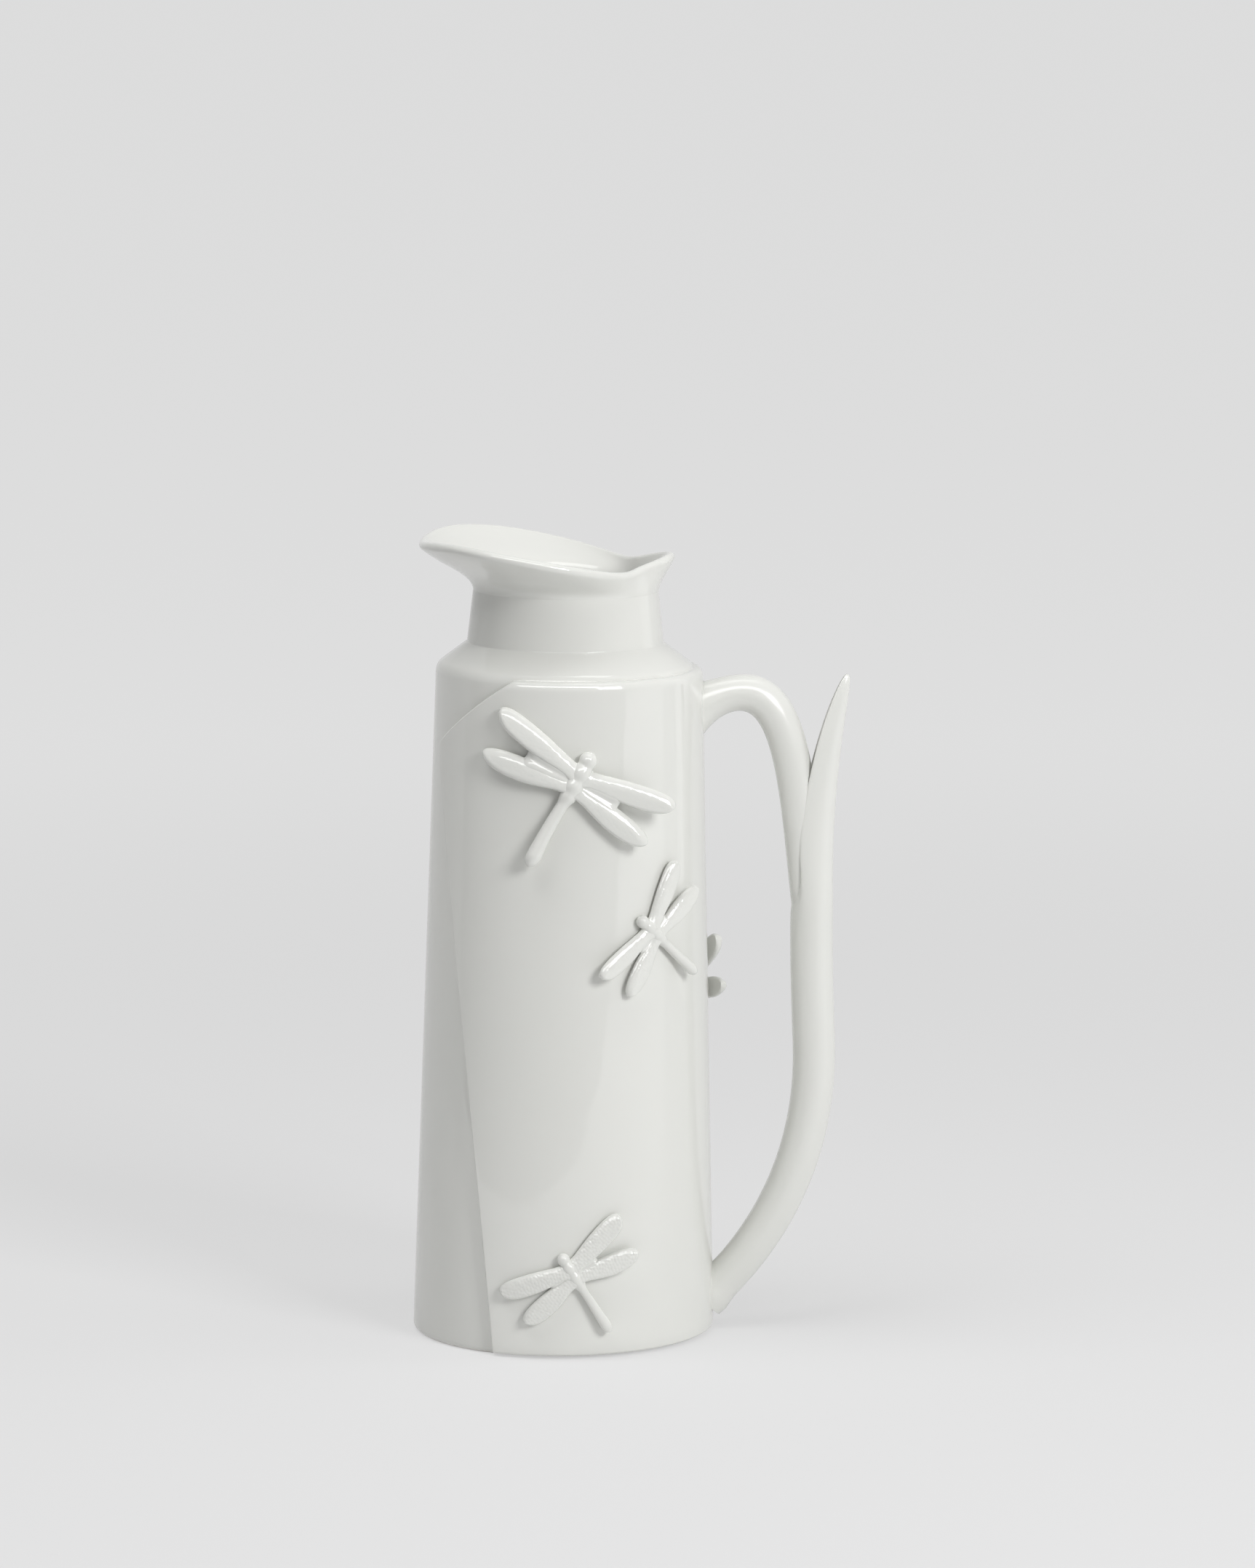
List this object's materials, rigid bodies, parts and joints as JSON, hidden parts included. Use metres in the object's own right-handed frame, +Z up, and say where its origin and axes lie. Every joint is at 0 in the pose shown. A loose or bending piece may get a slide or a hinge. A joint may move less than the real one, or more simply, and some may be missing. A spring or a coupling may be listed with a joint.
{
  "type": "carafe",
  "caption": "Tall tapered porcelain carafe with a flared pouring lip, a wrapped outer panel, a forked stem-shaped side handle and raised dragonflies.",
  "frame": {"origin": "middle of the foot ring, on the table", "axes": "+Z up, +X from the spout towards the handle, -Y towards the viewer of the picture"},
  "size_m": [0.153, 0.112, 0.2802],
  "materials": {
    "porcelain": "glossy clear glaze over warm white porcelain"
  },
  "bodies": {
    "root": {"vessel_body": "porcelain", "pouring_lip": "porcelain", "wrap_panel": "porcelain", "handle_stem": "porcelain", "handle_arch": "porcelain", "dragonfly_top_body": "porcelain", "dragonfly_top_left_forewing": "porcelain", "dragonfly_top_left_hindwing": "porcelain", "dragonfly_top_right_forewing": "porcelain", "dragonfly_top_right_hindwing": "porcelain", "dragonfly_middle_body": "porcelain", "dragonfly_middle_left_forewing": "porcelain", "dragonfly_middle_left_hindwing": "porcelain", "dragonfly_middle_right_forewing": "porcelain", "dragonfly_middle_right_hindwing": "porcelain", "dragonfly_lower_body": "porcelain", "dragonfly_lower_left_forewing": "porcelain", "dragonfly_lower_left_hindwing": "porcelain", "dragonfly_lower_right_forewing": "porcelain", "dragonfly_lower_right_hindwing": "porcelain", "dragonfly_rear_body": "porcelain", "dragonfly_rear_left_forewing": "porcelain", "dragonfly_rear_left_hindwing": "porcelain", "dragonfly_rear_right_forewing": "porcelain", "dragonfly_rear_right_hindwing": "porcelain"}
  },
  "joints": []
}
